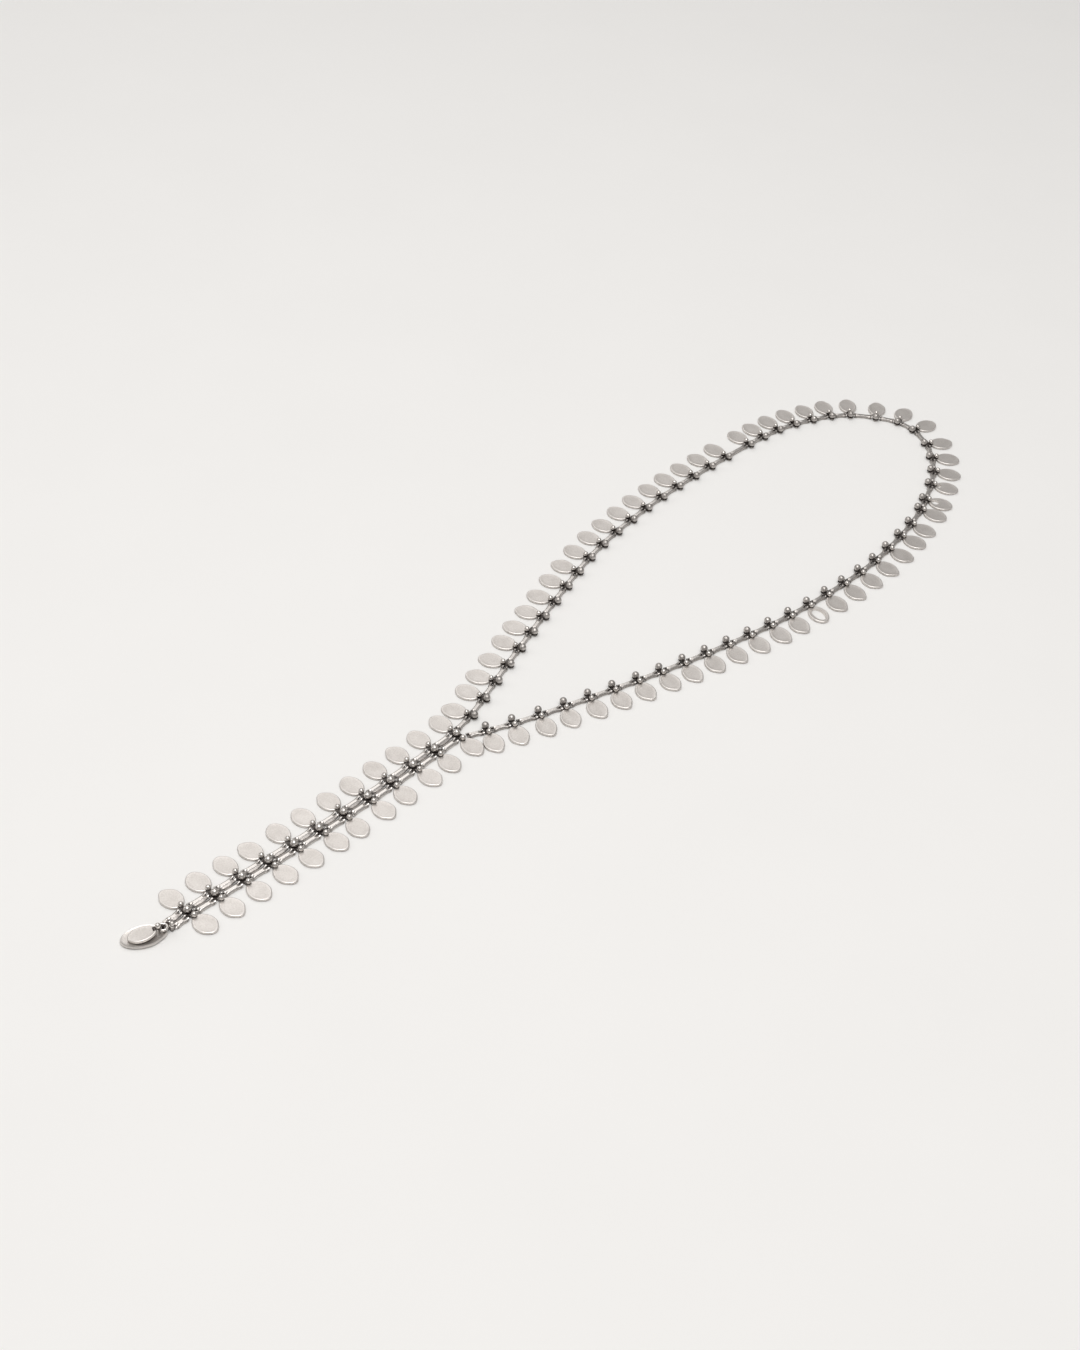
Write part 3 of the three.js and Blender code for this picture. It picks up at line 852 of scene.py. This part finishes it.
def stretched(template, start, end, setback_start, setback_end):
    """A copy of a link laid from one point in mm to another, its waist stretched to reach."""
    sizes = bpy.context.scene.necklace_links
    span = (end - start).length * MM - setback_start - setback_end
    extra = span - sizes.length
    waist = WAIST_SHARE * sizes.length / 2
    link = laid(template, Matrix())
    for vertex in link.data.vertices:
        vertex.co.x += extra / 2 * max(-1.0, min(1.0, vertex.co.x / waist))
    turn = math.atan2(end.y - start.y, end.x - start.x)
    link.data.transform(lay(start, turn, x=setback_start + span / 2))
    return link


# --- Operators ---


class NECKLACE_OT_leaf_pairs(bpy.types.Operator):
    """Model the pairs of leaves along the drop"""

    bl_idname = "necklace.leaf_pairs"
    bl_label = "Leaf pairs"

    def execute(self, context):
        leaf_sizes, beads = context.scene.necklace_leaf, context.scene.necklace_beads
        offset = STRAND_OFFSET * MM
        leaves = {-1: make_leaves("round"), 1: make_leaves("pointed")}
        small = make_bead(beads.small_radius, beads.small_height, "polished bead")
        large = make_bead(beads.large_radius, beads.large_height, "polished bead")
        setting = make_setting(PAIR_SETTING)
        for number, (point, heading) in place_drop().items():
            if number == 0:
                continue
            place = lay(point, heading + math.pi / 2)
            parts = [laid(setting, place), laid(large, place)]
            _, left, right = row_for(PAIR_TURNS, number, (0, 0, 0))
            for side, turn in ((-1, 180 + left), (1, right)):
                strand = place @ Matrix.Translation((side * offset, 0, 0))
                strand = strand @ Matrix.Rotation(math.radians(turn), 4, "Z")
                leaf = leaves[side][number % len(leaves[side])]
                parts.append(laid(leaf, strand @ Matrix.Translation((leaf_sizes.root, 0, 0))))
                parts.append(laid(small, strand @ Matrix.Translation((beads.small_offset, 0, 0))))
            piece = joined(f"leaf_pair_{number:02d}", parts)
            hand_over(piece, f"tail_pair_{number:02d}")
        discard([*leaves[-1], *leaves[1], small, large, setting])
        return {"FINISHED"}


class NECKLACE_OT_drop_links(bpy.types.Operator):
    """Model the two rows of forked links along the drop"""

    bl_idname = "necklace.drop_links"
    bl_label = "Drop links"

    def execute(self, context):
        sizes = context.scene.necklace_links
        link = make_link("drop link")
        # The lowest two aren't forked where they meet the ring's bar.
        lowest = {side: make_link("last link", (-side,)) for side in (-1, 1)}
        places = place_drop()
        for number in range(PAIRS, 0, -1):
            for label, side in (("left", -1), ("right", 1)):
                start = strand_point(places[number], side)
                end = strand_point(places[number - 1], side)
                # The outer side is +Y of a link that runs down the right strand.
                back = sizes.drop_setback
                backs = [back, RING_BAR_SETBACK * MM if number == 1 else back]
                if side < 0:
                    start, end = end, start
                    backs.reverse()
                template = lowest[side] if number == 1 else link
                piece = stretched(template, start, end, *backs)
                piece.name = piece.data.name = f"drop_link_{label}_{number:02d}"
                hand_over(piece, f"tail_link_{label}_{number:02d}")
        discard([link, *lowest.values()])
        return {"FINISHED"}


class NECKLACE_OT_neck_loop(bpy.types.Operator):
    """Model the neck loop, leaf by leaf, joined along its strand"""

    bl_idname = "necklace.neck_loop"
    bl_label = "Neck loop"

    def execute(self, context):
        leaf_sizes, beads = context.scene.necklace_leaf, context.scene.necklace_beads
        sizes = context.scene.necklace_links
        outgoing, returning = make_leaves("round"), make_leaves("leaning")
        small = make_bead(beads.small_radius, beads.small_height, "polished bead")
        large = make_bead(beads.large_radius, beads.large_height, "shaded bead")
        setting = make_setting(NECK_SETTING)
        link = make_link("neck link")
        places, drop = place_loop(), place_drop()
        places[0] = (strand_point(drop[PAIRS], -1), math.pi / 2)
        places[UNITS + 1] = (strand_point(drop[PAIRS], 1), math.pi / 2)

        def unit_parts(number):
            """The leaf, beads and setting of one unit, and the link that leads to it."""
            point, heading = places[number]
            place = lay(point, heading + math.pi / 2)
            leaves = returning if number > LAST_ROUND_UNIT else outgoing
            template = outgoing[0] if number in PIERCINGS else leaves[number % len(leaves)]
            plate = laid(template, Matrix())
            if number in PIERCINGS:
                middle, length, width = (value * MM for value in PIERCINGS[number])
                pierce(plate, middle - leaf_sizes.root, length, width)
            plate.data.transform(place @ Matrix.Translation((leaf_sizes.root, 0, 0)))
            ahead = beads.large_shift if number > LAST_ROUND_UNIT else 0
            return [
                plate,
                laid(setting, place),
                laid(small, place @ Matrix.Translation((beads.small_offset, 0, 0))),
                laid(large, place @ Matrix.Translation((-STRAND_OFFSET * MM, -ahead, 0))),
                link_between(number - 1, number),
            ]

        def link_between(number, after):
            """The link from one unit to the one after it."""
            more = [JUNCTION_CLEARANCE.get(end, 0) * MM for end in (number, after)]
            backs = [sizes.neck_setback + clearance for clearance in more]
            return stretched(link, places[number][0], places[after][0], *backs)

        for index, (first, last) in enumerate(LOOP_PARTS, 1):
            parts = []
            for number in range(first, last + 1):
                parts += unit_parts(number)
            if last == UNITS:
                parts.append(link_between(UNITS, UNITS + 1))
            piece = joined(f"neck_part_{index:02d}", parts)
            hand_over(piece, f"loop_part_{index:02d}")
        discard([*outgoing, *returning, small, large, setting, link])
        return {"FINISHED"}


class NECKLACE_OT_end_ring(bpy.types.Operator):
    """Model the cross bar, ring and bead at the end of the drop"""

    bl_idname = "necklace.end_ring"
    bl_label = "End ring"

    def execute(self, context):
        sizes = context.scene.necklace_end
        bar = make_block("cross bar", Vector(BAR_LOW) * MM, Vector(BAR_HIGH) * MM)
        for x in BAR_SOCKET:
            cut((x * MM, 0, 0), (1, 0, 0))
        pick("FACE", lambda co, normal: normal.z > FACING and abs(co.x) < BAR_SOCKET[1] * MM)
        bpy.ops.mesh.inset(thickness=SOCKET_BORDER * MM, depth=-SOCKET_DEPTH * MM)
        close_edit()
        soften(bar, BAR_BEVEL, 3)
        # The bar is darkened below its top, in the socket and down its sides.
        coat(bar, "rubbed rail", tarnish=lambda co: 0.9 * ramp(1.5 * MM - co.z, 0, 0.3 * MM))

        ring_middle = Vector(RING_MIDDLE) * MM
        ring = begin(
            "ring", bpy.ops.mesh.primitive_torus_add,
            major_segments=28, minor_segments=10, location=ring_middle,
            major_radius=sizes.ring_radius, minor_radius=sizes.wire_radius,
        )
        pick("VERT", lambda co, _: co.y > ring_middle.y + 0.6 * sizes.ring_radius)
        resize((1, 1, 0.8), ring_middle)
        close_edit()

        # Darker on the inside of the ring, below its middle.
        def tarnish(co):
            off = Vector((co.x - ring_middle.x, co.y - ring_middle.y)).length
            inside = ramp(sizes.ring_radius - off, 0, 0.15 * MM)
            return 0.95 * inside * ramp(ring_middle.z + 0.2 * MM - co.z, 0, 0.2 * MM)

        # A painted highlight on the top of the ring.
        def rubbed(co):
            return 0.5 * ramp(co.z, ring_middle.z, ring_middle.z + 0.3 * MM)

        coat(ring, "polished bead", tarnish=tarnish, rubbed=rubbed)

        bead = make_bead(RING_BEAD_RADIUS * MM, RING_BEAD_HEIGHT * MM, "polished bead")
        bead.data.transform(Matrix.Translation(Vector(RING_BEAD_SHIFT) * MM))
        piece = joined("end_ring", [bar, ring, bead])
        point, heading = place_drop()[0]
        piece.data.transform(lay(point, heading + math.pi / 2))
        hand_over(piece, "terminal_eye")
        return {"FINISHED"}


class NECKLACE_OT_end_dish(bpy.types.Operator):
    """Model the dished plate and the post that stands up through the ring"""

    bl_idname = "necklace.end_dish"
    bl_label = "End dish"

    def execute(self, context):
        sizes = context.scene.necklace_end
        half = sizes.dish_length / 2
        belly = 0.5 * MM
        dish = begin(
            "dish", bpy.ops.mesh.primitive_cylinder_add,
            vertices=40, radius=half, depth=belly, location=(0, 0, belly / 2),
        )
        centre = (0, 0, belly)
        resize((1, sizes.dish_width / sizes.dish_length, 1), centre)
        pick("VERT", lambda co, _: co.x < -0.7 * half)
        resize((1, 0.88, 1), centre, 0.5 * half)
        pick("FACE", lambda co, normal: normal.z < -FACING)
        resize((0.93, 0.88, 1), centre)
        pick("FACE", lambda co, normal: normal.z > FACING)
        rise = sizes.dish_rim - belly
        fall = sizes.dish_rim - 0.1 * rise - sizes.dish_floor
        # share of the length and of the width of the ring before, and how far the ring is moved up
        rings = (
            (0.985, 0.975, 0.7 * rise), (0.97, 0.95, 0.3 * rise), (0.965, 0.94, -0.1 * rise),
            (0.94, 0.9, -0.6 * fall), (0.9, 0.86, -0.4 * fall), (0.5, 0.5, 0.0),
        )
        for along, across, shift in rings:
            grow_ring((along, across, 1), centre, shift)
        close_edit()
        inner_y = 0.35 * sizes.dish_width

        # Painted shade in the hollow of the dish, below its rim.
        def tarnish(co):
            below_rim = ramp(sizes.dish_rim - 0.1 * MM - co.z, 0, 0.35 * MM)
            return 0.1 * below_rim * ramp(inner_y + 0.6 * MM - abs(co.y), 0, 0.5 * MM)

        # A painted highlight along the rim of the dish.
        def rubbed(co):
            return 0.6 * ramp(co.z, sizes.dish_rim - 0.12 * MM, sizes.dish_rim)

        coat(dish, "satin leaf", tarnish=tarnish, rubbed=rubbed)
        dish.data.transform(lay(JUNCTION + Vector(DISH_PLACE), math.radians(DISH_HEADING)))

        post = begin(
            "post", bpy.ops.mesh.primitive_cylinder_add,
            vertices=12, radius=POST_RADIUS * MM, depth=POST_DEPTH * MM,
            location=(0, 0, POST_MIDDLE * MM),
        )
        pick("FACE", lambda co, normal: normal.z > FACING)
        bpy.ops.mesh.bevel(offset=0.15 * MM, segments=3)
        close_edit()
        coat(post, "blackened setting", tarnish=lambda co: 0.95)
        point, heading = place_drop()[0]
        ring_x, ring_y = (value * MM for value in RING_MIDDLE[:2])
        post.data.transform(lay(point, heading + math.pi / 2, x=ring_x, y=ring_y))
        piece = joined("end_dish", [dish, post])
        hand_over(piece, "terminal_plate")
        return {"FINISHED"}


class NECKLACE_OT_end_leaf(bpy.types.Operator):
    """Model the leaf that lies over the ring and the dish"""

    bl_idname = "necklace.end_leaf"
    bl_label = "End leaf"

    def execute(self, context):
        sizes, beads = context.scene.necklace_end, context.scene.necklace_beads
        leaf = make_leaf(sizes.leaf_length, sizes.leaf_width)
        neck = make_block("neck", Vector(NECK_LOW) * MM, Vector(NECK_HIGH) * MM)
        pick("FACE", lambda co, normal: normal.x < -FACING)
        resize((1, 0.6, 1), (0, 0, 0.75 * MM))
        close_edit()
        soften(neck, NECK_BEVEL, 2)
        coat(neck, "blackened setting", tarnish=lambda co: 0.9)
        bead = make_bead(beads.small_radius, LEAF_BEAD_HEIGHT * MM, "polished bead")
        bead.data.transform(Matrix.Translation((LEAF_BEAD_X * MM, 0, 0)))
        piece = joined("end_leaf", [leaf, neck, bead])
        fall = END_LEAF_ROOT_HEIGHT - END_LEAF_TIP_HEIGHT
        tilt = math.asin(fall * MM / sizes.leaf_length)
        root, turn = JUNCTION + Vector(END_LEAF_PLACE), math.radians(END_LEAF_HEADING)
        place = lay(root, turn, z=END_LEAF_ROOT_HEIGHT * MM)
        piece.data.transform(place @ Matrix.Rotation(tilt, 4, "Y"))
        hand_over(piece, "terminal_leaf")
        return {"FINISHED"}


class NECKLACE_OT_stage(bpy.types.Operator):
    """Lay the table, light it and set the camera"""

    bl_idname = "necklace.stage"
    bl_label = "Table, lights and camera"

    def execute(self, context):
        self.lay_table(context)
        self.light(context)
        self.set_camera(context)
        context.scene.view_settings.view_transform = "Standard"
        return {"FINISHED"}

    def lay_table(self, context):
        deselect_all()
        bpy.ops.mesh.primitive_plane_add(size=TABLE_SIZE, location=(0, 0, TABLE_HEIGHT * MM))
        table = bpy.context.object
        table.name = "table"
        material = bpy.data.materials.new("matt table")
        material.use_nodes = True
        tree = material.node_tree
        shader = tree.nodes["Principled BSDF"]
        shader.inputs["Roughness"].default_value = 0.9
        place = tree.nodes.new("ShaderNodeTexCoord")
        pale = tuple(context.scene.necklace_silver.floor)
        deeper = tuple(0.97 * channel for channel in pale)
        cloud = add_noise(tree, place, 18, 3)
        tree.links.new(add_mix(tree, cloud, pale, deeper), shader.inputs["Base Color"])
        finish_with(table, material)

    def light(self, context):
        world = context.scene.world or bpy.data.worlds.new("studio")
        context.scene.world = world
        world.use_nodes = True
        background = world.node_tree.nodes["Background"]
        background.inputs["Color"].default_value = SKY_COLOUR
        background.inputs["Strength"].default_value = SKY_STRENGTH
        for name, azimuth, elevation, distance, side, brightness in LAMPS:
            lamp = bpy.data.lights.new(name, "AREA")
            lamp.shape = "SQUARE"
            lamp.size = side
            lamp.energy = brightness * math.pi * side**2
            lamp.color = LAMP_COLOUR
            holder = bpy.data.objects.new(name, lamp)
            context.collection.objects.link(holder)
            around, up = math.radians(azimuth), math.radians(elevation)
            level = math.cos(up)
            away = Vector((-math.sin(around) * level, math.cos(around) * level, math.sin(up)))
            holder.location = distance * away
            holder.rotation_mode = "QUATERNION"
            holder.rotation_quaternion = away.to_track_quat("Z", "Y")

    def set_camera(self, context):
        camera = bpy.data.cameras.new("camera")
        camera.sensor_fit = "HORIZONTAL"
        camera.sensor_width = SENSOR_WIDTH
        camera.lens = FOCAL_LENGTH
        camera.clip_start = 0.01
        holder = bpy.data.objects.new("camera", camera)
        context.collection.objects.link(holder)
        stand, aim = Vector(CAMERA_STAND) * MM, Vector(CAMERA_AIM) * MM
        roll = math.radians(CAMERA_ROLL)
        look = (aim - stand).to_track_quat("-Z", "Y").to_matrix().to_4x4()
        holder.matrix_world = Matrix.Translation(stand) @ look @ Matrix.Rotation(roll, 4, "Z")
        context.scene.camera = holder


OPERATORS = (
    NECKLACE_OT_leaf_pairs,
    NECKLACE_OT_drop_links,
    NECKLACE_OT_neck_loop,
    NECKLACE_OT_end_ring,
    NECKLACE_OT_end_dish,
    NECKLACE_OT_end_leaf,
    NECKLACE_OT_stage,
)

GROUPS = {
    "necklace_leaf": LeafSizes,
    "necklace_beads": BeadSizes,
    "necklace_links": LinkSizes,
    "necklace_end": EndSizes,
    "necklace_silver": SilverFinish,
}


class NECKLACE_PT_panel(bpy.types.Panel):
    """The necklace's sizes, finishes and pieces"""

    bl_idname = "NECKLACE_PT_panel"
    bl_label = "Y necklace"
    bl_space_type = "VIEW_3D"
    bl_region_type = "UI"
    bl_category = "Necklace"

    def draw(self, context):
        for name, group in GROUPS.items():
            box = self.layout.box()
            box.label(text=group.__doc__)
            for key in group.__annotations__:
                box.prop(getattr(context.scene, name), key)
        for operator in OPERATORS:
            self.layout.operator(operator.bl_idname)


def register():
    for group in GROUPS.values():
        bpy.utils.register_class(group)
    for name, group in GROUPS.items():
        setattr(bpy.types.Scene, name, bpy.props.PointerProperty(type=group))
    for operator in OPERATORS:
        bpy.utils.register_class(operator)
    bpy.utils.register_class(NECKLACE_PT_panel)


def unregister():
    bpy.utils.unregister_class(NECKLACE_PT_panel)
    for operator in reversed(OPERATORS):
        bpy.utils.unregister_class(operator)
    for name in GROUPS:
        delattr(bpy.types.Scene, name)
    for group in GROUPS.values():
        bpy.utils.unregister_class(group)


def main():
    register()
    bpy.ops.necklace.leaf_pairs()
    bpy.ops.necklace.drop_links()
    bpy.ops.necklace.neck_loop()
    bpy.ops.necklace.end_ring()
    bpy.ops.necklace.end_dish()
    bpy.ops.necklace.end_leaf()
    bpy.ops.necklace.stage()


if __name__ == "__main__":
    main()
